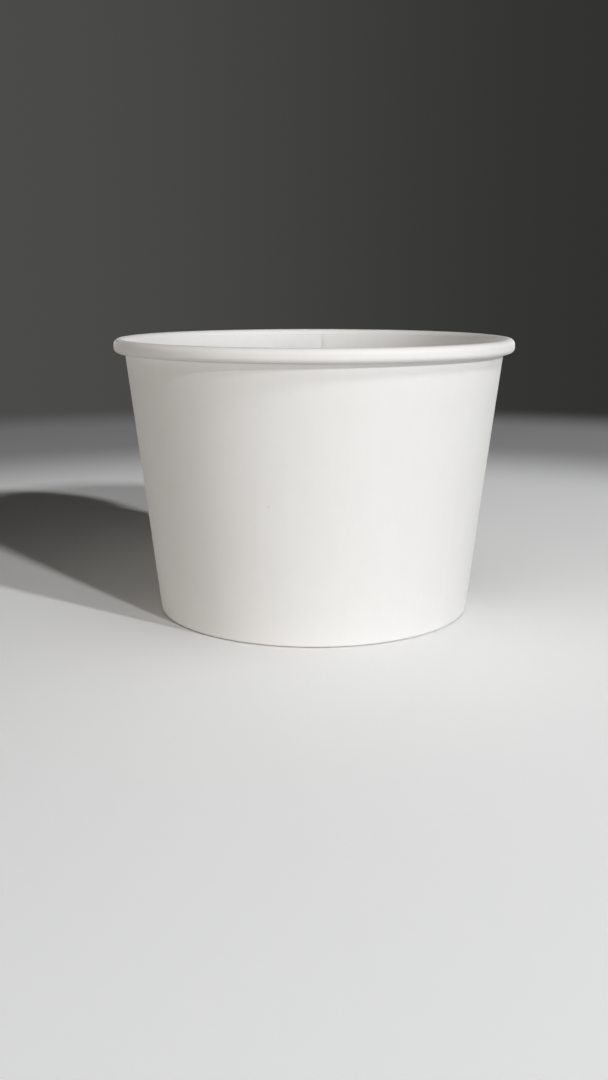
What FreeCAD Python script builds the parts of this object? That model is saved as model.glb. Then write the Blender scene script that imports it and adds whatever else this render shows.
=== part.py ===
import FreeCAD, Part
import math
import os

# Paper sundae cup, made as such cups are: a plain board blank is wrapped into a cone and lapped down
# the back, its top edge is rolled outwards into a hollow rim, and its bottom edge is folded inwards
# and up, round the skirt of a separate round bottom that is let in above the table.
#
# Millimetres. +Z is up, the origin is on the table at the centre of the foot, and +Y is the back,
# where the side seam is. A section lies in the XZ plane, with x as the radius.

# Board
BOARD = 0.40  # thickness of the side wall's board
BOTTOM_BOARD = 0.40  # thickness of the bottom's board
SEAL = 0.02  # melted coating between the bottom's skirt and the board on each side of it

# Outside sizes
RIM_DIAMETER = 96.0  # over the rolled rim
BASE_DIAMETER = 76.7  # where the line of the wall meets the table
CUP_HEIGHT = 66.3

# Rolled rim
ROLL_RADIUS = 1.39  # outside radius of the roll's top
ROLL_HEIGHT = 3.27
ROLL_GAP = 0.10  # between the turns of the roll
CURL_END_TURN = 100.0  # degrees that the cut edge goes on round inside the roll

# Foot
FOLD_INNER_RADIUS = 0.05  # inside the two corners of the folded foot
FLOOR_HEIGHT = 7.5  # the bottom's upper face above the table
BOTTOM_BEND = 0.5  # inside radius where the bottom turns down into its skirt
HEM_CLEARANCE = 0.4  # between the hem's cut edge and the bottom's bend above it
SKIRT_CLEARANCE = 0.2  # between the skirt's cut edge and the fold under it

# Side seam
SEAM_AZIMUTH = 86.9  # degrees round from +X to the inner flap's cut edge
LAP_WIDTH = 7.0  # overlap of the two flaps at the rim
LAP_PRESSED = 0.08  # how much the press takes off the two layers
LAP_TAPER = 2.5  # height over which the lap is pressed flat at the foot
STEP_WIDTH = 1.3  # the outer flap climbs over the inner one in this width
STEP_DEPTH = 0.22  # how far the inner flap's cut edge stands proud inside the cup
STEP_ABOVE_FLOOR = 0.4  # the coating fills the step below this
CUT_OVERRUN = 0.3  # how far the step's cut stands off the board's face

AXIS = FreeCAD.Vector(0, 0, 1)
CENTRE = FreeCAD.Vector(0, 0, 0)


def ahead(heading):
    """Unit vector along a heading in the section plane, in radians from +X, with up positive."""
    return FreeCAD.Vector(math.cos(heading), 0, math.sin(heading))


def left_of(heading):
    """Unit vector to the left of a heading."""
    return FreeCAD.Vector(-math.sin(heading), 0, math.cos(heading))


class Straight:
    """A straight stretch of a board's middle line."""

    def __init__(self, start, heading, length):
        self.start = start
        self.heading = heading
        self.end = start + ahead(heading) * length
        self.end_heading = heading

    def edge(self, offset):
        """The stretch's edge, offset to the left of the middle line."""
        shift = left_of(self.heading) * offset
        return Part.makeLine(self.start + shift, self.end + shift)


class Bend:
    """A bent stretch of a board's middle line. A turn to the left is positive."""

    def __init__(self, start, heading, radius, turn):
        self.heading = heading
        self.turn = turn
        self.reach = math.copysign(radius, turn)
        self.centre = start + left_of(heading) * self.reach
        self.end = self.at(turn, 0)
        self.end_heading = heading + turn

    def at(self, angle, offset):
        """The point after an angle of the turn, offset to the left of the middle line."""
        return self.centre - left_of(self.heading + angle) * (self.reach - offset)

    def edge(self, offset):
        """The stretch's edge, offset to the left of the middle line."""
        points = [self.at(self.turn * share, offset) for share in (0, 0.5, 1)]
        return Part.Arc(*points).toShape()


def middle_line(start, heading, moves):
    """The stretches of a board's middle line. A move is (length,) or (radius, turn)."""
    stretches = []
    for move in moves:
        kind = Straight if len(move) == 1 else Bend
        stretches.append(kind(start, heading, *move))
        start = stretches[-1].end
        heading = stretches[-1].end_heading
    return stretches


def band_wire(stretches, low, high):
    """The closed outline between two offsets from a middle line, low to the right of high."""
    right = [stretch.edge(low) for stretch in stretches]
    left = [stretch.edge(high) for stretch in stretches]
    start_cap = Part.makeLine(right[0].firstVertex(True).Point, left[0].firstVertex(True).Point)
    end_cap = Part.makeLine(right[-1].lastVertex(True).Point, left[-1].lastVertex(True).Point)
    return Part.Wire(Part.__sortEdges__(right + [end_cap] + left + [start_cap]))


def turned(shape, azimuth):
    """A copy of a section, turned about the cup's axis by degrees."""
    copy = shape.copy()
    copy.rotate(CENTRE, AXIS, azimuth)
    return copy


# The wall's slope. Its outer face runs from the foot to a tangent of the roll's hollow.
roll_centre = FreeCAD.Vector(RIM_DIAMETER / 2 - ROLL_RADIUS, 0, CUP_HEIGHT - ROLL_RADIUS)
wall_foot = FreeCAD.Vector(BASE_DIAMETER / 2, 0, 0)
foot_to_roll = roll_centre - wall_foot
line_to_centre = math.atan2(foot_to_roll.x, foot_to_roll.z)
taper = line_to_centre - math.asin((ROLL_RADIUS - BOARD) / foot_to_roll.Length)
up_wall = math.pi / 2 - taper
down_wall = up_wall - math.pi

# The roll. Its lower bend brings the board back to lie along the wall, a gap away.
roll_mid_radius = ROLL_RADIUS - BOARD / 2
bend_share = 1 + math.cos(taper)
room_for_bend = roll_mid_radius * bend_share - BOARD - ROLL_GAP
room_for_slope = (ROLL_HEIGHT - ROLL_RADIUS - BOARD / 2) * math.sin(taper)
lower_bend_radius = (room_for_bend + room_for_slope) / (bend_share + math.sin(taper))
roll_side = ROLL_HEIGHT - ROLL_RADIUS - lower_bend_radius - BOARD / 2
curl_end_radius = roll_mid_radius - BOARD - ROLL_GAP

# The foot and the seam
skirt_inset = BOARD + SEAL + BOTTOM_BOARD / 2
hem_inset = 1.5 * BOARD + BOTTOM_BOARD + 2 * SEAL
hem_height = FLOOR_HEIGHT - BOTTOM_BOARD - BOTTOM_BEND - HEM_CLEARANCE
lap_rise = BOARD - LAP_PRESSED


def wall_point(height, inset):
    """The point of the section at a height, inset square to the wall from its outer face."""
    along = (height - inset * math.sin(taper)) / math.cos(taper)
    return wall_foot + ahead(up_wall) * along + left_of(up_wall) * inset


def bend_trim(radius, turn):
    """How much of each straight stretch beside a corner its bend takes."""
    return radius * math.tan(turn / 2)


def foot_line():
    """Down the hem from its cut edge, across the foot and into the wall."""
    radius = FOLD_INNER_RADIUS + BOARD / 2
    turn_in = math.pi / 2 + taper
    turn_out = math.pi / 2 - taper
    hem_top = wall_point(hem_height, hem_inset)
    inner_corner = wall_point(BOARD / 2, hem_inset)
    outer_corner = wall_point(BOARD / 2, BOARD / 2)
    hem = hem_top.distanceToPoint(inner_corner) - bend_trim(radius, turn_in)
    flat = inner_corner.distanceToPoint(outer_corner)
    flat -= bend_trim(radius, turn_in) + bend_trim(radius, turn_out)
    moves = [(hem,), (radius, turn_in), (flat,), (radius, turn_out)]
    return middle_line(hem_top, down_wall, moves)


def up_to_roll(start):
    """Straight up the wall from a point of its middle line to where the roll begins."""
    return middle_line(start, up_wall, [((roll_centre - start).dot(ahead(up_wall)),)])


def roll_line(start):
    """Over the roll, down its side and under it to the wall's outer face."""
    quarter = math.pi / 2
    moves = [
        (roll_mid_radius, taper - math.pi),
        (roll_side,),
        (lower_bend_radius, -quarter),
        (lower_bend_radius, -quarter - taper),
    ]
    return middle_line(start, up_wall, moves)


def tail_line(start):
    """Up between the roll and the wall, and round inside the roll to the cut edge."""
    rise = (roll_centre - start).dot(ahead(up_wall))
    moves = [(rise,), (curl_end_radius, -math.radians(CURL_END_TURN))]
    return middle_line(start, up_wall, moves)


def seam_angle(width):
    """The angle in degrees that a width of the seam takes round the wall's top."""
    return math.degrees(width / (roll_centre.x - ROLL_RADIUS))


def flap_wire(start, top, rise):
    """The outer flap's outline, from the board's middle to a rise above its face, flat at the foot."""
    root = 0
    face = -BOARD / 2
    corners = [(0, root), (0, face), (LAP_TAPER, face - rise), (top, face - rise), (top, root)]
    points = [start + ahead(up_wall) * along + left_of(up_wall) * offset for along, offset in corners]
    return Part.makePolygon(points + points[:1])


def outer_flap(start, top):
    """The outer flap on the wall's outside, from its cut edge to where it is one with the wall."""
    lap = seam_angle(LAP_WIDTH)
    proud = flap_wire(start, top, lap_rise)
    flush = flap_wire(start, top, 0)
    strip = turned(Part.Face(proud), SEAM_AZIMUTH - lap).revolve(CENTRE, AXIS, lap)
    climb = [turned(proud, SEAM_AZIMUTH), turned(flush, SEAM_AZIMUTH + seam_angle(STEP_WIDTH))]
    return strip.fuse(Part.makeLoft(climb, True, True))


def seam_step(stretches):
    """The cut that leaves the inner flap's edge standing, up inside the cup and over the roll."""
    face = BOARD / 2
    deep = band_wire(stretches, face - STEP_DEPTH, face + CUT_OVERRUN)
    shallow = band_wire(stretches, face, face + CUT_OVERRUN)
    ends = [turned(deep, SEAM_AZIMUTH), turned(shallow, SEAM_AZIMUTH + seam_angle(STEP_WIDTH))]
    return Part.makeLoft(ends, True, True)


def side_wall():
    """The lapped side wall with its rolled rim and folded foot, as one board."""
    foot = foot_line()
    wall = up_to_roll(foot[-1].end)
    roll = roll_line(wall[-1].end)
    tail = tail_line(roll[-1].end)
    section = band_wire(foot + wall + roll + tail, -BOARD / 2, BOARD / 2)
    body = Part.Face(section).revolve(CENTRE, AXIS, 360)
    lap_top = (roll[-1].centre - wall[0].start).dot(ahead(up_wall))
    lapped = body.fuse(outer_flap(wall[0].start, lap_top))
    above_floor = up_to_roll(wall_point(FLOOR_HEIGHT + STEP_ABOVE_FLOOR, BOARD / 2))
    return lapped.cut(seam_step(above_floor + roll[:-1])).removeSplitter()


def bottom_disc():
    """The round bottom, with its edge bent down into a skirt that sits in the folded foot."""
    radius = BOTTOM_BEND + BOTTOM_BOARD / 2
    turn = math.pi / 2 + taper
    panel_height = FLOOR_HEIGHT - BOTTOM_BOARD / 2
    corner = wall_point(panel_height, skirt_inset)
    skirt_end = wall_point(BOARD + SKIRT_CLEARANCE, skirt_inset)
    panel = corner.x - bend_trim(radius, turn)
    skirt = corner.distanceToPoint(skirt_end) - bend_trim(radius, turn)
    start = FreeCAD.Vector(0, 0, panel_height)
    line = middle_line(start, 0, [(panel,), (radius, -turn), (skirt,)])
    section = band_wire(line, -BOTTOM_BOARD / 2, BOTTOM_BOARD / 2)
    return Part.Face(section).revolve(CENTRE, AXIS, 360)


def main():
    os.makedirs("parts", exist_ok=True)
    for make in (side_wall, bottom_disc):
        shape = make()
        name = make.__name__
        print(name, "solids", len(shape.Solids), "valid", shape.isValid(), "mm3", round(shape.Volume, 2))
        shape.Solids[0].exportStep(os.path.join("parts", name + ".step"))


main()
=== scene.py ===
"""A paper sundae cup: its board, rolled rim, side seam and let-in bottom, on a plain pale floor.

Metres, +Z up, with the origin at the centre of the foot, in the plane that the foot stands on. +Y is the
back, by the seam. A section lies in the XZ plane, with x as the radius.
"""

import math

import bpy
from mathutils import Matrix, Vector


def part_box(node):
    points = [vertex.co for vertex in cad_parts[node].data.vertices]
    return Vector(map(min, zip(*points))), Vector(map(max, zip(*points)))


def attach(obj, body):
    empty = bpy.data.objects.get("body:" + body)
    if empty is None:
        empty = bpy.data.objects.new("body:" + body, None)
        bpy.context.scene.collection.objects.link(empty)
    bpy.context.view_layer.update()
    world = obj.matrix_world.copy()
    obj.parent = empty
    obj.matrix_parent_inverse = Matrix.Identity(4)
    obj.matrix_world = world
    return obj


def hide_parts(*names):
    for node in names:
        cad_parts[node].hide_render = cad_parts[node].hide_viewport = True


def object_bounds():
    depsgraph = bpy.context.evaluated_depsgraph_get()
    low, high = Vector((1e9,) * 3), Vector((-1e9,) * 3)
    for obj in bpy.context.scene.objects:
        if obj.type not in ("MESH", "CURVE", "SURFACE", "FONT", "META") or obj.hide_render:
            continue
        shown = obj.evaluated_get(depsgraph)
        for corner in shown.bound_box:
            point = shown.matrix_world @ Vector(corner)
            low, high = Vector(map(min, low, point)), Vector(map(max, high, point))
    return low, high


bl_info = {
    "name": "Paper Sundae Cup",
    "version": (1, 0, 0),
    "blender": (4, 5, 0),
    "location": "3D View > Sidebar > Paper Cup",
    "description": "Rolls, folds and seams a paper sundae cup, and sets it on a plain floor",
    "category": "Add Mesh",
}

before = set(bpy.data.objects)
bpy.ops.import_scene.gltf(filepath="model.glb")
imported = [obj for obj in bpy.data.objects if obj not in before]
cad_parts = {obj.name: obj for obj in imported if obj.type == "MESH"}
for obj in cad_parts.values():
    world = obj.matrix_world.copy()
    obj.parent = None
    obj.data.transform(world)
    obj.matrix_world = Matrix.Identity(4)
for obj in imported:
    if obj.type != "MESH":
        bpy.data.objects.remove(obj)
cad_low, cad_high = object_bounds()
_, wall_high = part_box("side_wall")
bottom_low, bottom_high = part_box("bottom_disc")

MM = 0.001

# How finely the board is divided
COLUMNS = 240  # round the cup, apart from the seam
LAP_COLUMNS = 8
CLIMB_COLUMNS = 4
CRACK = 0.02 * MM  # width of the column that the outer flap's cut edge drops in
DOUBLES = 0.001 * MM  # points closer than this become one
FOOT_RINGS = 5  # on each short straight stretch at the foot
WALL_RINGS = 44
UNDER_ROLL_RINGS = 20
ROLL_SIDE_RINGS = 2
TAIL_RINGS = 3  # from the roll's lower bend up to its curl
BOTTOM_RINGS = 16
FOLD_STEPS = 5
ROLL_STEPS = 14
CURL_STEPS = 6
SMOOTH_ANGLE = math.radians(35)  # edges that turn by more than this stay sharp

# Just under the roll the wall has closer rings and doesn't wave
UNDER_ROLL = 2  # depth of that stretch, in heights of the roll
WAVE_FADE = 3  # depth over which the waves die away below it, in heights of the roll

# Where the outer flap runs out under the roll, below the roll's centre
FLAP_FADE_START = 1.7 * MM
FLAP_FADE_END = 1.1 * MM

# Where the step of the seam inside the cup runs out into the roll, below the rim's top
STEP_FADE_START = 2.6 * MM
STEP_FADE_END = 0.9 * MM

# The wall isn't perfectly round: it waves a little between the foot and the roll
WAVE_LENGTH = 26 * MM
WAVE_START = 12 * MM  # height above the table where the waves begin
WAVE_FULL = 24 * MM  # height where they have their full depth
WAVE_DETAIL = 1

# A small fleck in the board, low on the front left
FLECK_PLACE = (-9.65 * MM, -40.9 * MM, 32.3 * MM)
FLECK_SIZE = (0.28 * MM, 0.6 * MM, 0.55 * MM)  # half its width, depth and height
FLECK_CORE = 0.4  # the share of that size in which it is at its darkest
FLECK_SHADE = 0.87

# The order of the finishes on each piece of board
OUTSIDE_SLOT = 0
INSIDE_SLOT = 1
CUT_EDGE_SLOT = 2

# Patterns in the board: the noise's scale to the metre, its detail and its stretch along X, Y and Z
FORMATION = (260, 3, (1, 1, 1))
FIBRES = (1500, 5, (1, 1, 0.45))
STREAKS = (420, 2, (1, 1, 0.03))
CUT_FIBRES = (5200, 4, (1, 1, 1))
NOISE_LOW = 0.3  # where the middle of a noise begins
NOISE_HIGH = 0.7  # and where it ends

# How dark each pattern is, as a share of the board's colour, and how strongly it shows at most
FORMATION_SHADE = 0.985
FIBRE_SHADE = 0.95
FIBRE_SHARE = 0.25
STREAK_SHADE = 0.93
STREAK_SHARE = 0.22
CUT_SHADES = (0.9, 1.08)  # the raw fibres at their darkest and at their palest

# Relief and gloss of the board
FORMATION_RELIEF = 0.012 * MM
FORMATION_STRENGTH = 0.6
OUTSIDE_RELIEF = 0.010 * MM
INSIDE_RELIEF = 0.006 * MM
FIBRE_STRENGTH = 0.5
CUT_RELIEF = 0.03 * MM
CUT_ROUGHNESS = 0.95
GLOSS_SPREAD = 0.04  # how far the roughness wanders either way
BOARD_IOR = 1.48
BOARD_SPECULAR = 0.3


class BoardSizes(bpy.types.PropertyGroup):
    """Sizes of the cup and its board"""

    rim_radius: bpy.props.FloatProperty(
        name="Rim radius",
        description="Outside radius of the rolled rim",
        default=wall_high.x,
        min=0.02,
        subtype="DISTANCE",
    )
    base_radius: bpy.props.FloatProperty(
        name="Base radius",
        description="Radius where the line of the wall meets the table",
        default=38.35 * MM,
        min=0.015,
        subtype="DISTANCE",
    )
    height: bpy.props.FloatProperty(
        name="Height",
        description="Height of the cup over its rim",
        default=wall_high.z,
        min=0.02,
        subtype="DISTANCE",
    )
    board: bpy.props.FloatProperty(
        name="Board",
        description="Thickness of the board",
        default=0.40 * MM,
        min=0.0001,
        subtype="DISTANCE",
    )
    roll_radius: bpy.props.FloatProperty(
        name="Roll radius",
        description="Outside radius of the roll's top",
        default=1.39 * MM,
        min=0.0005,
        subtype="DISTANCE",
    )
    roll_height: bpy.props.FloatProperty(
        name="Roll height",
        description="Height of the rolled rim",
        default=3.27 * MM,
        min=0.001,
        subtype="DISTANCE",
    )
    roll_gap: bpy.props.FloatProperty(
        name="Roll gap",
        description="Gap between the turns of the roll",
        default=0.10 * MM,
        min=0.0,
        subtype="DISTANCE",
    )
    curl_end: bpy.props.FloatProperty(
        name="Curl end",
        description="How far round the cut edge goes on inside the roll",
        default=math.radians(100),
        subtype="ANGLE",
    )
    fold_radius: bpy.props.FloatProperty(
        name="Fold radius",
        description="Radius inside the two corners of the folded foot",
        default=0.05 * MM,
        min=0.0,
        subtype="DISTANCE",
    )
    floor_height: bpy.props.FloatProperty(
        name="Floor height",
        description="Height of the bottom's upper face above the table",
        default=bottom_high.z,
        min=0.002,
        subtype="DISTANCE",
    )
    skirt_foot: bpy.props.FloatProperty(
        name="Skirt foot",
        description="Height of the skirt's cut edge above the table",
        default=bottom_low.z,
        min=0.0,
        subtype="DISTANCE",
    )
    bottom_bend: bpy.props.FloatProperty(
        name="Bottom bend",
        description="Inside radius where the bottom turns down into its skirt",
        default=0.5 * MM,
        min=0.0,
        subtype="DISTANCE",
    )
    hem_clearance: bpy.props.FloatProperty(
        name="Hem clearance",
        description="Height between the hem's cut edge and the bottom's bend",
        default=0.4 * MM,
        min=0.0,
        subtype="DISTANCE",
    )
    seal: bpy.props.FloatProperty(
        name="Seal",
        description="Melted coating on each side of the bottom's skirt",
        default=0.02 * MM,
        min=0.0,
        subtype="DISTANCE",
    )
    unevenness: bpy.props.FloatProperty(
        name="Unevenness",
        description="How far the wall wanders from a true round",
        default=0.07 * MM,
        min=0.0,
        subtype="DISTANCE",
    )


class SeamSizes(bpy.types.PropertyGroup):
    """Sizes of the lapped side seam"""

    azimuth: bpy.props.FloatProperty(
        name="Azimuth",
        description="Angle from +X to the inner flap's cut edge",
        default=math.radians(86.9),
        subtype="ANGLE",
    )
    lap_width: bpy.props.FloatProperty(
        name="Lap width",
        description="Overlap of the two flaps at the rim",
        default=7.0 * MM,
        min=0.0,
        subtype="DISTANCE",
    )
    lap_rise: bpy.props.FloatProperty(
        name="Lap rise",
        description="How far the outer flap stands proud outside the cup",
        default=0.32 * MM,
        min=0.0,
        subtype="DISTANCE",
    )
    lap_taper: bpy.props.FloatProperty(
        name="Lap taper",
        description="Height over which the lap is pressed flat at the foot",
        default=2.5 * MM,
        min=0.0001,
        subtype="DISTANCE",
    )
    step_width: bpy.props.FloatProperty(
        name="Step width",
        description="Width in which the outer flap climbs over the inner one",
        default=1.5 * MM,
        min=0.0001,
        subtype="DISTANCE",
    )
    step_edge: bpy.props.FloatProperty(
        name="Step edge",
        description="Width of the slope that the coating makes of the inner flap's cut edge",
        default=0.25 * MM,
        min=0.0001,
        subtype="DISTANCE",
    )
    step_depth: bpy.props.FloatProperty(
        name="Step depth",
        description="How far the inner flap's cut edge stands proud inside the cup",
        default=0.16 * MM,
        min=0.0,
        subtype="DISTANCE",
    )
    step_above_floor: bpy.props.FloatProperty(
        name="Step above floor",
        description="The coating fills the step below this height over the bottom",
        default=0.4 * MM,
        min=0.0,
        subtype="DISTANCE",
    )


class BoardFinish(bpy.types.PropertyGroup):
    """Colours and finish of the board"""

    outside: bpy.props.FloatVectorProperty(
        name="Outside",
        description="Colour of the white board outside",
        default=(0.84, 0.832, 0.816),
        min=0.0,
        max=1.0,
        subtype="COLOR",
    )
    # Paler than the outside: partly the coating, and partly painted light that stands in for the light
    # bounced round inside the cup
    inside: bpy.props.FloatVectorProperty(
        name="Inside",
        description="Colour of the coated board inside, which is also the roll's face",
        default=(0.90, 0.888, 0.864),
        min=0.0,
        max=1.0,
        subtype="COLOR",
    )
    cut_edge: bpy.props.FloatVectorProperty(
        name="Cut edge",
        description="Colour of the raw fibres at a cut edge",
        default=(0.70, 0.675, 0.63),
        min=0.0,
        max=1.0,
        subtype="COLOR",
    )
    outside_roughness: bpy.props.FloatProperty(
        name="Outside roughness",
        description="Roughness of the board's printable outside",
        default=0.55,
        min=0.0,
        max=1.0,
        subtype="FACTOR",
    )
    inside_roughness: bpy.props.FloatProperty(
        name="Inside roughness",
        description="Roughness of the coated inside, which is also the roll's face",
        default=0.42,
        min=0.0,
        max=1.0,
        subtype="FACTOR",
    )


class StageLook(bpy.types.PropertyGroup):
    """The plain floor, the backdrop and the light"""

    floor_colour: bpy.props.FloatVectorProperty(
        name="Floor",
        description="Colour of the floor",
        default=(0.90, 0.90, 0.895),
        min=0.0,
        max=1.0,
        subtype="COLOR",
    )
    backdrop_left: bpy.props.FloatVectorProperty(
        name="Backdrop, left",
        description="Colour behind the floor, to the left",
        default=(0.070, 0.070, 0.069),
        min=0.0,
        max=1.0,
        subtype="COLOR",
    )
    backdrop_right: bpy.props.FloatVectorProperty(
        name="Backdrop, right",
        description="Colour behind the floor, to the right",
        default=(0.031, 0.031, 0.030),
        min=0.0,
        max=1.0,
        subtype="COLOR",
    )
    floor_lift: bpy.props.FloatProperty(
        name="Floor lift",
        description="How much paler the floor shows to the camera than it lights the cup",
        default=2.88,
        min=1.0,
        max=3.0,
    )
    horizon: bpy.props.FloatVectorProperty(
        name="Horizon",
        description="Soft light from low down, all round",
        default=(0.025, 0.0245, 0.0235),
        min=0.0,
        max=2.0,
        subtype="COLOR",
    )
    overhead: bpy.props.FloatVectorProperty(
        name="Overhead",
        description="Soft light from above",
        default=(0.013, 0.0127, 0.0122),
        min=0.0,
        max=2.0,
        subtype="COLOR",
    )
    key_power: bpy.props.FloatProperty(
        name="Key power",
        description="Power of the main lamp, at the front right",
        default=5.2,
        min=0.0,
        subtype="POWER",
        unit="POWER",
    )
    side_power: bpy.props.FloatProperty(
        name="Side power",
        description="Power of the second lamp, further to the right",
        default=5.65,
        min=0.0,
        subtype="POWER",
        unit="POWER",
    )
    high_power: bpy.props.FloatProperty(
        name="High power",
        description="Power of the lamp that reaches down into the cup",
        default=6.4,
        min=0.0,
        subtype="POWER",
        unit="POWER",
    )
    low_power: bpy.props.FloatProperty(
        name="Low power",
        description="Power of the low panel at the front right, which reaches up under the roll",
        default=2.0,
        min=0.0,
        subtype="POWER",
        unit="POWER",
    )
    front_power: bpy.props.FloatProperty(
        name="Front power",
        description="Power of the large low panel at the front left",
        default=3.7,
        min=0.0,
        subtype="POWER",
        unit="POWER",
    )
    back_power: bpy.props.FloatProperty(
        name="Back power",
        description="Power of the large low panel behind",
        default=3.8,
        min=0.0,
        subtype="POWER",
        unit="POWER",
    )


def ahead(heading):
    """Unit vector along a heading in the section plane, from +X, with up positive."""
    return Vector((math.cos(heading), 0, math.sin(heading)))


def left_of(heading):
    """Unit vector to the left of a heading."""
    return Vector((-math.sin(heading), 0, math.cos(heading)))


class CupSection:
    """The places, slopes and radii of the board's middle line, from the cup's sizes."""

    def __init__(self, sizes):
        self.sizes = sizes
        board = sizes.board
        roll_x = sizes.rim_radius - sizes.roll_radius
        self.roll_centre = Vector((roll_x, 0, sizes.height - sizes.roll_radius))
        self.wall_foot = Vector((sizes.base_radius, 0, 0))
        line = self.roll_centre - self.wall_foot
        self.taper = math.atan2(line.x, line.z) - math.asin((sizes.roll_radius - board) / line.length)
        self.up = math.pi / 2 - self.taper
        self.down = self.up - math.pi
        self.roll_mid_radius = sizes.roll_radius - board / 2
        # The roll's lower bend brings the board back up beside the wall, with the roll's gap between
        side_room = sizes.roll_height - sizes.roll_radius - board / 2
        bend_share = 1 + math.cos(self.taper)
        room = self.roll_mid_radius * bend_share - board - sizes.roll_gap
        slope_room = side_room * math.sin(self.taper)
        self.lower_bend_radius = (room + slope_room) / (bend_share + math.sin(self.taper))
        self.roll_side = side_room - self.lower_bend_radius
        self.curl_end_radius = self.roll_mid_radius - board - sizes.roll_gap
        # The skirt's and the hem's middles, in from the wall's outer face
        self.skirt_inset = 1.5 * board + sizes.seal
        self.hem_inset = 2.5 * board + 2 * sizes.seal
        self.hem_height = sizes.floor_height - board - sizes.bottom_bend - sizes.hem_clearance

    def wall_point(self, height, inset):
        """The point at a height, inset square to the wall from its outer face."""
        along = (height - inset * math.sin(self.taper)) / math.cos(self.taper)
        return self.wall_foot + ahead(self.up) * along + left_of(self.up) * inset

    def seam_angle(self, width):
        """The angle that a width of the seam takes round the wall's top."""
        return width / (self.roll_centre.x - self.sizes.roll_radius)


class SeamArcs:
    """The angles that the seam takes round the cup, which start at the outer flap's cut edge."""

    def __init__(self, section, seam):
        self.lap = section.seam_angle(seam.lap_width)
        self.edge = section.seam_angle(seam.step_edge)
        self.climb = section.seam_angle(seam.step_width)
        self.crack = section.seam_angle(CRACK)
        self.rest = math.tau - self.lap - self.edge - self.climb - self.crack
        self.start = seam.azimuth - self.lap


def bend_trim(radius, turn):
    """How much of each straight stretch beside a corner its bend takes."""
    return radius * math.tan(turn / 2)


class SectionPen:
    """Draws a board's section from one vertex, by extruding it along and spinning it round bends."""

    def __init__(self, name, place, heading):
        bpy.ops.object.select_all(action="DESELECT")
        bpy.ops.mesh.primitive_plane_add(size=MM, location=place)
        bpy.ops.object.transform_apply(location=True, rotation=True, scale=True)
        self.board = bpy.context.object
        self.board.name = name
        self.board.data.name = name
        self.place = Vector(place)
        self.heading = heading
        # Merging a small plane at its centre leaves the one vertex that the drawing starts from
        bpy.ops.object.mode_set(mode="EDIT")
        bpy.ops.mesh.select_mode(type="VERT")
        bpy.ops.mesh.select_all(action="SELECT")
        bpy.ops.mesh.merge(type="CENTER")

    def straight(self, length, steps):
        """Extrudes the board's end straight ahead."""
        stride = ahead(self.heading) * (length / steps)
        for _ in range(steps):
            bpy.ops.mesh.extrude_vertices_move(TRANSFORM_OT_translate={"value": stride})
        self.place += stride * steps

    def bend(self, radius, turn, steps):
        """Spins the board's end round a bend. A turn to the left is positive."""
        reach = math.copysign(radius, turn)
        centre = self.place + left_of(self.heading) * reach
        bpy.ops.mesh.spin(steps=steps, angle=turn, center=centre, axis=(0, 1, 0))
        self.heading += turn
        self.place = centre - left_of(self.heading) * reach

    def mark(self, group_name):
        """From here on, what is drawn belongs to this vertex group."""
        self.board.vertex_groups.new(name=group_name)
        bpy.ops.object.vertex_group_assign()

    def unmark(self, group_name):
        """From here on, what is drawn no longer belongs to this vertex group."""
        self.board.vertex_groups.active = self.board.vertex_groups[group_name]
        bpy.ops.object.vertex_group_remove_from()


def spin_round(board, arcs):
    """Spins a whole section round the cup's axis by (angle, steps) arcs, and closes it on itself."""
    bpy.ops.mesh.select_all(action="SELECT")
    for angle, steps in arcs:
        bpy.ops.mesh.spin(steps=steps, angle=angle, center=(0, 0, 0), axis=(0, 0, -1))
    bpy.ops.mesh.select_all(action="SELECT")
    bpy.ops.mesh.remove_doubles(threshold=DOUBLES)
    # The spin leaves the faces turned to the cup's inside
    bpy.ops.mesh.flip_normals()
    bpy.ops.object.mode_set(mode="OBJECT")
    return board


def apply_modifier(board, kind, **settings):
    """Adds a modifier with its settings to the board, and applies it."""
    modifier = board.modifiers.new(kind.title(), kind)
    for name, value in settings.items():
        setattr(modifier, name, value)
    bpy.ops.object.modifier_apply(modifier=modifier.name)


def thicken(board, thickness):
    """Gives the sheet its thickness. The new shell is the board's inside face, in its own group."""
    board.vertex_groups.new(name="inside_face")
    apply_modifier(
        board,
        "SOLIDIFY",
        thickness=thickness,
        offset=0.0,
        use_even_offset=True,
        shell_vertex_group="inside_face",
        material_offset=INSIDE_SLOT,
        material_offset_rim=CUT_EDGE_SLOT,
    )


def push_out(board, group_name, distance):
    """Moves a group's vertices out along their normals, each by its weight's share of a distance."""
    apply_modifier(
        board,
        "DISPLACE",
        direction="NORMAL",
        mid_level=0.0,
        strength=distance,
        vertex_group=group_name,
    )


def group_members(board, name):
    """The numbers of the vertices in a vertex group."""
    number = board.vertex_groups[name].index
    return {
        vertex.index
        for vertex in board.data.vertices
        if any(membership.group == number for membership in vertex.groups)
    }


def weigh(board, name, weights):
    """Makes a vertex group from the weights of vertices by number, leaving out the zeros."""
    group = board.vertex_groups.new(name=name)
    for number, weight in weights.items():
        if weight > 0:
            group.add([number], min(weight, 1.0), "REPLACE")


def ramp(value, start, end):
    """0 at start and before, 1 at end and after, straight between."""
    return min(max((value - start) / (end - start), 0.0), 1.0)


def azimuth_from(place, start):
    """The angle round the axis from a start to a place, from 0 to a full turn."""
    return (math.atan2(place.y, place.x) - start) % math.tau


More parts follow.
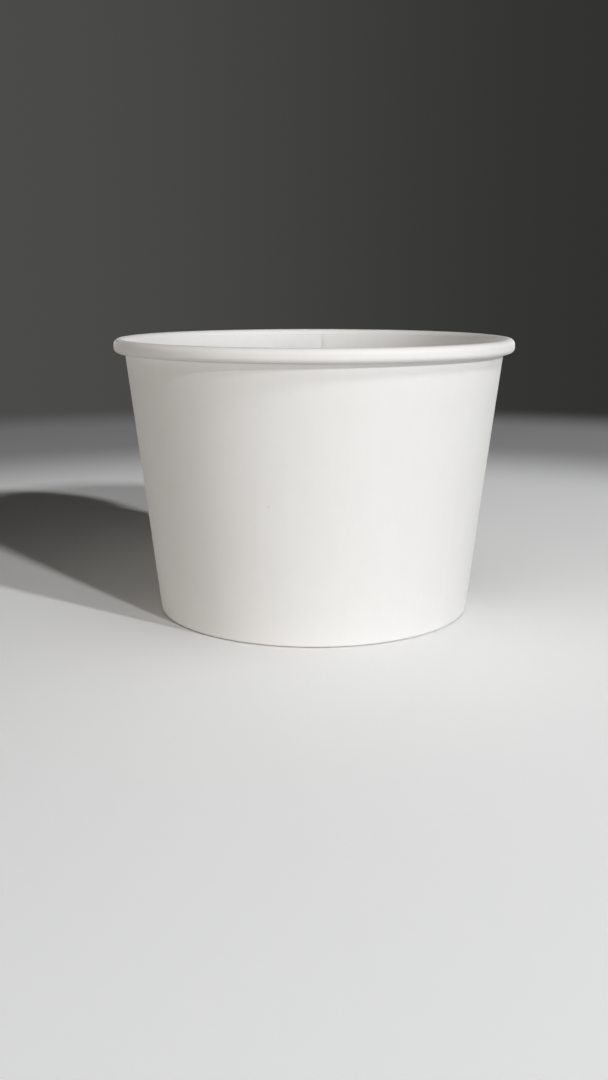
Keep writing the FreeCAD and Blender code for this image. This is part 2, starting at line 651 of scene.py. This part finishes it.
def draw_wall(section, seam):
    """The side wall's middle sheet, from the hem's cut edge to the curl's, in the XZ plane."""
    sizes = section.sizes
    board = sizes.board
    fold = sizes.fold_radius + board / 2
    turn_in = math.pi / 2 + section.taper
    turn_out = math.pi / 2 - section.taper
    hem_top = section.wall_point(section.hem_height, section.hem_inset)
    inner_corner = section.wall_point(board / 2, section.hem_inset)
    outer_corner = section.wall_point(board / 2, board / 2)
    flat = (inner_corner - outer_corner).length - bend_trim(fold, turn_in) - bend_trim(fold, turn_out)
    step_start = section.wall_point(sizes.floor_height, board / 2)

    pen = SectionPen("side_wall_board", hem_top, section.down)
    pen.straight((hem_top - inner_corner).length - bend_trim(fold, turn_in), FOOT_RINGS)
    pen.bend(fold, turn_in, FOLD_STEPS)
    pen.straight(flat, 1)
    pen.bend(fold, turn_out, FOLD_STEPS)
    pen.mark("wall")
    pen.straight(seam.lap_taper, FOOT_RINGS)
    above_floor = step_start.z + seam.step_above_floor
    pen.straight((above_floor - pen.place.z) / math.cos(section.taper), FOOT_RINGS)
    pen.mark("in_sight")
    under_roll = UNDER_ROLL * sizes.roll_height
    to_roll = (section.roll_centre - pen.place).dot(ahead(section.up))
    pen.straight(to_roll - under_roll, WALL_RINGS)
    pen.straight(under_roll, UNDER_ROLL_RINGS)
    pen.unmark("wall")
    pen.bend(section.roll_mid_radius, section.taper - math.pi, ROLL_STEPS)
    pen.straight(section.roll_side, ROLL_SIDE_RINGS)
    pen.bend(section.lower_bend_radius, -math.pi / 2, ROLL_STEPS // 2)
    pen.unmark("in_sight")
    pen.bend(section.lower_bend_radius, -math.pi / 2 - section.taper, ROLL_STEPS // 2)
    tail = (section.roll_centre - pen.place).dot(ahead(section.up))
    pen.straight(tail, TAIL_RINGS)
    pen.bend(section.curl_end_radius, -sizes.curl_end, CURL_STEPS)
    return pen.board


def wave_board(board, section):
    """Lets the wall wander a little inwards from a true round, as pressed board does."""
    sizes = section.sizes
    waves_end = sizes.height - UNDER_ROLL * sizes.roll_height
    waves = {}
    for number in group_members(board, "wall"):
        height = board.data.vertices[number].co.z
        fading = ramp(height, waves_end - WAVE_FADE * sizes.roll_height, waves_end)
        waves[number] = ramp(height, WAVE_START, WAVE_FULL) * (1 - fading)
    clouds = bpy.data.textures.new("board_waves", "CLOUDS")
    clouds.noise_scale = WAVE_LENGTH
    clouds.noise_depth = WAVE_DETAIL
    weigh(board, "wall_waves", waves)
    apply_modifier(
        board,
        "DISPLACE",
        texture=clouds,
        texture_coords="LOCAL",
        direction="NORMAL",
        mid_level=1.0,
        strength=sizes.unevenness,
        vertex_group="wall_waves",
    )


def press_seam(board, section, seam, arcs):
    """Raises the outer flap outside the cup, and drops the board beside the inner flap's edge."""
    half_crack = arcs.crack / 2
    roll_z = section.roll_centre.z
    rim_top = section.sizes.height
    wall = group_members(board, "wall")
    in_sight = group_members(board, "in_sight")
    inside = group_members(board, "inside_face")
    first_ring = min(board.data.vertices[number].co.z for number in wall)
    raised = {}
    dropped = {}
    for vertex in board.data.vertices:
        beyond = azimuth_from(vertex.co, arcs.start - half_crack) - half_crack - arcs.lap
        climbed = ramp(beyond, arcs.edge, arcs.edge + arcs.climb)
        height = vertex.co.z
        if vertex.index in inside:
            past_edge = beyond > arcs.edge / 2
            if vertex.index in in_sight and past_edge:
                into_roll = ramp(height, rim_top - STEP_FADE_START, rim_top - STEP_FADE_END)
                dropped[vertex.index] = (1 - into_roll) * (1 - climbed)
        elif vertex.index in wall:
            at_foot = ramp(height, first_ring, first_ring + seam.lap_taper)
            under_roll = 1 - ramp(height, roll_z - FLAP_FADE_START, roll_z - FLAP_FADE_END)
            raised[vertex.index] = at_foot * under_roll * (1 - climbed)
    weigh(board, "outer_flap", raised)
    weigh(board, "seam_step", dropped)
    push_out(board, "outer_flap", seam.lap_rise)
    push_out(board, "seam_step", -seam.step_depth)


def bare_cut_edge(board):
    """Gives the raw fibre finish to the outer flap's cut edge, the narrow faces of its crack."""
    outside = [face for face in board.data.polygons if face.material_index == OUTSIDE_SLOT]
    for face in outside:
        corners = [board.data.vertices[index].co for index in face.vertices]
        angles = [math.atan2(corner.y, corner.x) for corner in corners]
        radius = math.hypot(corners[0].x, corners[0].y)
        if (max(angles) - min(angles)) * radius < 2 * CRACK:
            face.material_index = CUT_EDGE_SLOT


def finish_board(board, slots):
    """Smooths the board, clears its working groups and gives it its finishes."""
    board.vertex_groups.clear()
    bpy.ops.object.shade_smooth_by_angle(angle=SMOOTH_ANGLE)
    board.data.materials.clear()
    for material in slots:
        board.data.materials.append(material)


def make_nodes(material):
    """Clears a material's nodes and returns its tree, with a fresh shader wired to its output."""
    material.use_nodes = True
    tree = material.node_tree
    tree.nodes.clear()
    shader = tree.nodes.new("ShaderNodeBsdfPrincipled")
    output = tree.nodes.new("ShaderNodeOutputMaterial")
    tree.links.new(shader.outputs["BSDF"], output.inputs["Surface"])
    return tree, shader, output


def feed(tree, value, socket):
    """Links a socket's value from another socket, or sets it to a number or a colour."""
    if isinstance(value, bpy.types.NodeSocket):
        tree.links.new(value, socket)
    else:
        socket.default_value = value


def work_out(tree, operation, *values):
    """The result of a mathematical operation on sockets or numbers."""
    node = tree.nodes.new("ShaderNodeMath")
    node.operation = operation
    for value, socket in zip(values, node.inputs):
        feed(tree, value, socket)
    return node.outputs["Value"]


def noise(tree, scale, detail, stretch):
    """A noise on object coordinates. A stretch under 1 draws it out along that axis."""
    coordinates = tree.nodes.new("ShaderNodeTexCoord")
    mapping = tree.nodes.new("ShaderNodeMapping")
    mapping.inputs["Scale"].default_value = stretch
    texture = tree.nodes.new("ShaderNodeTexNoise")
    texture.inputs["Scale"].default_value = scale
    texture.inputs["Detail"].default_value = detail
    tree.links.new(coordinates.outputs["Object"], mapping.inputs["Vector"])
    tree.links.new(mapping.outputs["Vector"], texture.inputs["Vector"])
    return texture.outputs["Fac"]


def between(tree, value, low, high):
    """Spreads the middle of a noise over a range from low to high."""
    spread = tree.nodes.new("ShaderNodeMapRange")
    spread.inputs["From Min"].default_value = NOISE_LOW
    spread.inputs["From Max"].default_value = NOISE_HIGH
    spread.inputs["To Min"].default_value = low
    spread.inputs["To Max"].default_value = high
    tree.links.new(value, spread.inputs["Value"])
    return spread.outputs["Result"]


def smooth_step(tree, value, start, end):
    """Smoothly from 0 at the start to 1 at the end."""
    fade = tree.nodes.new("ShaderNodeMapRange")
    fade.interpolation_type = "SMOOTHSTEP"
    fade.inputs["From Min"].default_value = start
    fade.inputs["From Max"].default_value = end
    tree.links.new(value, fade.inputs["Value"])
    return fade.outputs["Result"]


def dying_away(tree, value, depth, reach):
    """A depth where the value is 0, and a factor of e less at each reach from there."""
    share = work_out(tree, "EXPONENT", work_out(tree, "DIVIDE", value, -reach))
    return work_out(tree, "MULTIPLY", share, depth)


def seen_as_background(tree):
    """1 for a ray from the camera, a gloss or a clear surface, and 0 for one that only carries light."""
    path = tree.nodes.new("ShaderNodeLightPath")
    seen = path.outputs["Is Camera Ray"]
    for name in ("Is Glossy Ray", "Is Transmission Ray"):
        seen = work_out(tree, "MAXIMUM", seen, path.outputs[name])
    return seen


def shade(colour, share):
    """A share of a colour, darker under 1 and paler over it, with an alpha of 1."""
    return (*(part * share for part in colour), 1.0)


def mix_colours(tree, factor, first, second):
    """Mixes two colours. Each is a socket or four numbers."""
    mix = tree.nodes.new("ShaderNodeMix")
    mix.data_type = "RGBA"
    feed(tree, factor, mix.inputs["Factor"])
    feed(tree, first, mix.inputs["A"])
    feed(tree, second, mix.inputs["B"])
    return mix.outputs["Result"]


def bump(tree, height, distance, strength=1.0, under=None):
    """A bump of a real height in metres, laid over another bump if there is one."""
    node = tree.nodes.new("ShaderNodeBump")
    node.inputs["Strength"].default_value = strength
    node.inputs["Distance"].default_value = distance
    tree.links.new(height, node.inputs["Height"])
    if under is not None:
        tree.links.new(under, node.inputs["Normal"])
    return node.outputs["Normal"]


def fleck(tree, place, size):
    """1 in a small soft fleck of the half sizes given, and 0 around it."""
    coordinates = tree.nodes.new("ShaderNodeTexCoord")
    mapping = tree.nodes.new("ShaderNodeMapping")
    mapping.vector_type = "TEXTURE"
    mapping.inputs["Location"].default_value = place
    mapping.inputs["Scale"].default_value = size
    distance = tree.nodes.new("ShaderNodeVectorMath")
    distance.operation = "LENGTH"
    tree.links.new(coordinates.outputs["Object"], mapping.inputs["Vector"])
    tree.links.new(mapping.outputs["Vector"], distance.inputs[0])
    return smooth_step(tree, distance.outputs["Value"], 1.0, FLECK_CORE)


def board_material(name, face, roughness, relief, flecked=False):
    """White cup board: cloudy formation, fine fibres, upright streaks and a satin face."""
    material = bpy.data.materials.new(name)
    tree, shader, _ = make_nodes(material)
    clouds = noise(tree, *FORMATION)
    fibres = noise(tree, *FIBRES)
    body = mix_colours(tree, between(tree, clouds, 0, 1), shade(face, FORMATION_SHADE), shade(face, 1.0))
    colour = mix_colours(tree, between(tree, fibres, 0, FIBRE_SHARE), body, shade(face, FIBRE_SHADE))
    streaks = noise(tree, *STREAKS)
    colour = mix_colours(tree, between(tree, streaks, 0, STREAK_SHARE), colour, shade(face, STREAK_SHADE))
    if flecked:
        colour = mix_colours(tree, fleck(tree, FLECK_PLACE, FLECK_SIZE), colour, shade(face, FLECK_SHADE))
    tree.links.new(colour, shader.inputs["Base Color"])
    gloss = between(tree, clouds, roughness - GLOSS_SPREAD, roughness + GLOSS_SPREAD)
    tree.links.new(gloss, shader.inputs["Roughness"])
    soft = bump(tree, clouds, FORMATION_RELIEF, FORMATION_STRENGTH)
    normal = bump(tree, fibres, relief, FIBRE_STRENGTH, under=soft)
    tree.links.new(normal, shader.inputs["Normal"])
    shader.inputs["IOR"].default_value = BOARD_IOR
    shader.inputs["Specular IOR Level"].default_value = BOARD_SPECULAR
    return material


def cut_edge_material(finish):
    """Raw fibres where the board was cut."""
    material = bpy.data.materials.new("cut_edge")
    tree, shader, _ = make_nodes(material)
    fibres = noise(tree, *CUT_FIBRES)
    dark, pale = (shade(finish.cut_edge, share) for share in CUT_SHADES)
    colour = mix_colours(tree, between(tree, fibres, 0, 1), dark, pale)
    tree.links.new(colour, shader.inputs["Base Color"])
    tree.links.new(bump(tree, fibres, CUT_RELIEF), shader.inputs["Normal"])
    shader.inputs["Roughness"].default_value = CUT_ROUGHNESS
    return material


def board_materials():
    """The outside, the inside and the cut edges, made once and then shared."""
    finish = bpy.context.scene.board_finish
    made = bpy.data.materials
    if "cut_edge" not in made:
        outside_roughness = finish.outside_roughness
        board_material("board_outside", finish.outside, outside_roughness, OUTSIDE_RELIEF, flecked=True)
        board_material("board_inside", finish.inside, finish.inside_roughness, INSIDE_RELIEF)
        cut_edge_material(finish)
    return [made["board_outside"], made["board_inside"], made["cut_edge"]]


class PAPERCUP_OT_make_side_wall(bpy.types.Operator):
    """Rolls, folds and laps the side wall from one sheet"""

    bl_idname = "papercup.make_side_wall"
    bl_label = "Make side wall"

    def execute(self, context):
        sizes = context.scene.board_sizes
        seam = context.scene.seam_sizes
        section = CupSection(sizes)
        arcs = SeamArcs(section, seam)
        board = draw_wall(section, seam)
        columns = [
            (arcs.lap, LAP_COLUMNS),
            (arcs.edge, 1),
            (arcs.climb, CLIMB_COLUMNS),
            (arcs.rest, COLUMNS),
            (arcs.crack, 1),
        ]
        spin_round(board, columns)
        board.rotation_euler.z = arcs.start
        bpy.ops.object.transform_apply(location=True, rotation=True, scale=True)
        wave_board(board, section)
        thicken(board, sizes.board)
        press_seam(board, section, seam, arcs)
        finish_board(board, board_materials())
        bare_cut_edge(board)
        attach(board, "root")
        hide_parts("side_wall")
        return {"FINISHED"}


class PAPERCUP_OT_make_bottom(bpy.types.Operator):
    """Bends the round bottom down into its skirt"""

    bl_idname = "papercup.make_bottom"
    bl_label = "Make bottom"

    def execute(self, context):
        sizes = context.scene.board_sizes
        section = CupSection(sizes)
        radius = sizes.bottom_bend + sizes.board / 2
        turn = math.pi / 2 + section.taper
        panel_height = sizes.floor_height - sizes.board / 2
        corner = section.wall_point(panel_height, section.skirt_inset)
        skirt_end = section.wall_point(sizes.skirt_foot, section.skirt_inset)
        pen = SectionPen("bottom_board", (0, 0, panel_height), 0.0)
        pen.straight(corner.x - bend_trim(radius, turn), BOTTOM_RINGS)
        pen.bend(radius, -turn, ROLL_STEPS // 2)
        pen.straight((corner - skirt_end).length - bend_trim(radius, turn), FOOT_RINGS)
        board = spin_round(pen.board, [(math.tau, COLUMNS)])
        thicken(board, sizes.board)
        finish_board(board, board_materials())
        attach(board, "root")
        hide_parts("bottom_disc")
        return {"FINISHED"}


class PAPERCUP_OT_make_stage(bpy.types.Operator):
    """Sets the plain floor, the backdrop, the light and the camera"""

    bl_idname = "papercup.make_stage"
    bl_label = "Make stage"

    # The camera, fitted to the photograph's view
    camera_place = (0.0, -0.27738, 0.07932)
    camera_pitch = math.radians(12.899)  # down
    camera_yaw = math.radians(0.499)  # to the left
    camera_lens = 37.58  # millimetres
    camera_sensor = 36  # millimetres across
    camera_clip = 0.01  # nearest distance that shows

    floor_radius = 2.0
    floor_sides = 128
    floor_drop = 0.10 * MM  # the folded foot stands on its few highest points
    floor_roughness = 0.9
    floor_specular = 0.2

    # Painted shade: the floor's colour darkens close round the cup. The share of it taken off is the depth
    # below at the cup's axis, which the foot covers, and a factor of e less at each reach below from there
    painted_shade_depth = 1.44
    painted_shade_reach = 0.0374

    # The floor's pool of light is painted into its colour: it dims to pool_share of the lifted colour
    # Distances from the cup's axis
    pool_start = 0.18  # where the floor's pool of light begins to dim
    pool_end = 0.30  # and where it has dimmed to pool_share
    floor_fade_start = 0.36  # where the floor begins to give way to the backdrop
    floor_fade_end = 0.47

    pool_share = 0.42
    overhead_start = math.sin(math.radians(16))  # upward part of a direction, where overhead begins
    backdrop_turn = 0.27  # sideways part of a direction, up to which the backdrop's colour changes

    white = (0.985, 0.99, 1.0)
    warm = (1.0, 0.955, 0.885)

    # Each lamp's azimuth to the right of the camera, elevation, distance, width, height and colour
    lamps = {
        "key": (math.radians(34), math.radians(26), 1.5, 0.08, 0.08, white),
        "side": (math.radians(49.5), math.radians(24), 1.5, 0.06, 0.06, white),
        "high": (math.radians(45), math.radians(50), 1.5, 0.25, 0.25, white),
        "low": (math.radians(42), math.radians(4), 1.0, 0.35, 0.18, white),
        "front": (math.radians(-40), math.radians(6), 1.0, 1.0, 0.18, warm),
        "back": (math.radians(180), math.radians(6), 1.0, 1.4, 0.18, warm),
    }

    # These light the cup alone, so the floor keeps its dark shadow
    off_floor = ("high", "low", "front", "back")

    def make_floor(self, look):
        """A pale floor with painted shade round the cup and a painted pool of light, which dims and ends in
        the backdrop.
        """
        bpy.ops.object.select_all(action="DESELECT")
        bpy.ops.mesh.primitive_circle_add(
            vertices=self.floor_sides,
            radius=self.floor_radius,
            fill_type="TRIFAN",
            location=(0, 0, -self.floor_drop),
        )
        floor = bpy.context.object
        floor.name = "floor"
        material = bpy.data.materials.new("floor")
        tree, shader, output = make_nodes(material)
        shader.inputs["Roughness"].default_value = self.floor_roughness
        shader.inputs["Specular IOR Level"].default_value = self.floor_specular
        coordinates = tree.nodes.new("ShaderNodeTexCoord")
        distance = tree.nodes.new("ShaderNodeVectorMath")
        distance.operation = "LENGTH"
        tree.links.new(coordinates.outputs["Object"], distance.inputs[0])
        # Painted shade: the floor's colour darkens towards the cup
        near = dying_away(tree, distance.outputs["Value"], self.painted_shade_depth, self.painted_shade_reach)
        dimming = smooth_step(tree, distance.outputs["Value"], self.pool_start, self.pool_end)
        fading = smooth_step(tree, distance.outputs["Value"], self.floor_fade_start, self.floor_fade_end)
        plain, lifted, far, dark = (
            shade(look.floor_colour, share)
            for share in (1.0, look.floor_lift, look.floor_lift * self.pool_share, 0.0)
        )
        # Painted pool of light: beyond pool_start the colour that the camera and gloss see dims towards far
        pool = mix_colours(tree, dimming, lifted, far)
        seen = mix_colours(tree, near, pool, dark)
        colour = mix_colours(tree, seen_as_background(tree), plain, seen)
        tree.links.new(colour, shader.inputs["Base Color"])
        clear = tree.nodes.new("ShaderNodeBsdfTransparent")
        mix = tree.nodes.new("ShaderNodeMixShader")
        tree.links.new(fading, mix.inputs["Fac"])
        tree.links.new(shader.outputs["BSDF"], mix.inputs[1])
        tree.links.new(clear.outputs["BSDF"], mix.inputs[2])
        tree.links.new(mix.outputs["Shader"], output.inputs["Surface"])
        floor.data.materials.append(material)

    def make_world(self, look):
        """Soft fill that is strongest low down, and the plain backdrop where it is seen."""
        world = bpy.data.worlds.new("soft_studio")
        bpy.context.scene.world = world
        world.use_nodes = True
        tree = world.node_tree
        tree.nodes.clear()
        output = tree.nodes.new("ShaderNodeOutputWorld")
        direction = tree.nodes.new("ShaderNodeTexCoord")
        split = tree.nodes.new("ShaderNodeSeparateXYZ")
        tree.links.new(direction.outputs["Generated"], split.inputs["Vector"])
        height = smooth_step(tree, split.outputs["Z"], 0, self.overhead_start)
        fill = tree.nodes.new("ShaderNodeBackground")
        glow = mix_colours(tree, height, shade(look.horizon, 1.0), shade(look.overhead, 1.0))
        tree.links.new(glow, fill.inputs["Color"])
        backdrop = tree.nodes.new("ShaderNodeBackground")
        across = smooth_step(tree, split.outputs["X"], -self.backdrop_turn, self.backdrop_turn)
        behind = mix_colours(tree, across, shade(look.backdrop_left, 1.0), shade(look.backdrop_right, 1.0))
        tree.links.new(behind, backdrop.inputs["Color"])
        mix = tree.nodes.new("ShaderNodeMixShader")
        tree.links.new(seen_as_background(tree), mix.inputs["Fac"])
        tree.links.new(fill.outputs["Background"], mix.inputs[1])
        tree.links.new(backdrop.outputs["Background"], mix.inputs[2])
        tree.links.new(mix.outputs["Shader"], output.inputs["Surface"])

    def make_lamps(self, look):
        """Three lamps and a low panel at the front right, and two wide panels that open up the shade."""
        middle = Vector((0, 0, cad_high.z / 2))
        all_but_floor = bpy.data.collections.new("all_but_floor")
        all_but_floor.objects.link(bpy.data.objects["floor"])
        all_but_floor.collection_objects[0].light_linking.link_state = "EXCLUDE"
        for name, (azimuth, elevation, distance, width, height, colour) in self.lamps.items():
            across = math.cos(elevation)
            sideways = Vector((math.sin(azimuth), -math.cos(azimuth), 0))
            toward = sideways * across + Vector((0, 0, math.sin(elevation)))
            bpy.ops.object.light_add(type="AREA", location=middle + toward * distance)
            lamp = bpy.context.object
            lamp.name = name + "_lamp"
            lamp.rotation_euler = toward.to_track_quat("Z", "Y").to_euler()
            lamp.data.shape = "RECTANGLE"
            lamp.data.size = width
            lamp.data.size_y = height
            lamp.data.color = colour
            lamp.data.energy = getattr(look, name + "_power")
            if name in self.off_floor:
                lamp.light_linking.receiver_collection = all_but_floor

    def make_camera(self):
        """The photograph's viewpoint."""
        bpy.ops.object.camera_add(
            location=self.camera_place,
            rotation=(math.pi / 2 - self.camera_pitch, 0, self.camera_yaw),
        )
        camera = bpy.context.object
        camera.data.sensor_width = self.camera_sensor
        camera.data.lens = self.camera_lens
        camera.data.clip_start = self.camera_clip
        bpy.context.scene.camera = camera

    def execute(self, context):
        look = context.scene.stage_look
        self.make_floor(look)
        self.make_world(look)
        self.make_lamps(look)
        self.make_camera()
        context.scene.view_settings.view_transform = "Standard"
        return {"FINISHED"}


class PAPERCUP_PT_sidebar(bpy.types.Panel):
    """The cup's sizes and the buttons that make it"""

    bl_idname = "PAPERCUP_PT_sidebar"
    bl_label = "Paper sundae cup"
    bl_space_type = "VIEW_3D"
    bl_region_type = "UI"
    bl_category = "Paper Cup"

    def draw(self, context):
        layout = self.layout
        scene = context.scene
        for group in (scene.board_sizes, scene.seam_sizes, scene.board_finish, scene.stage_look):
            box = layout.box()
            for name in group.__annotations__:
                box.prop(group, name)
        for operator in OPERATORS:
            layout.operator(operator.bl_idname)


GROUPS = {
    "board_sizes": BoardSizes,
    "seam_sizes": SeamSizes,
    "board_finish": BoardFinish,
    "stage_look": StageLook,
}
OPERATORS = (PAPERCUP_OT_make_side_wall, PAPERCUP_OT_make_bottom, PAPERCUP_OT_make_stage)


def register():
    """Makes the classes known to Blender, and gives each scene the sizes."""
    for name, group in GROUPS.items():
        bpy.utils.register_class(group)
        setattr(bpy.types.Scene, name, bpy.props.PointerProperty(type=group))
    for operator in OPERATORS:
        bpy.utils.register_class(operator)
    bpy.utils.register_class(PAPERCUP_PT_sidebar)


def unregister():
    """Takes all of it back, in the opposite order."""
    bpy.utils.unregister_class(PAPERCUP_PT_sidebar)
    for operator in reversed(OPERATORS):
        bpy.utils.unregister_class(operator)
    for name, group in reversed(GROUPS.items()):
        delattr(bpy.types.Scene, name)
        bpy.utils.unregister_class(group)


def main():
    """Makes the cup and its stage."""
    register()
    bpy.ops.papercup.make_side_wall()
    bpy.ops.papercup.make_bottom()
    bpy.ops.papercup.make_stage()


if __name__ == "__main__":
    main()
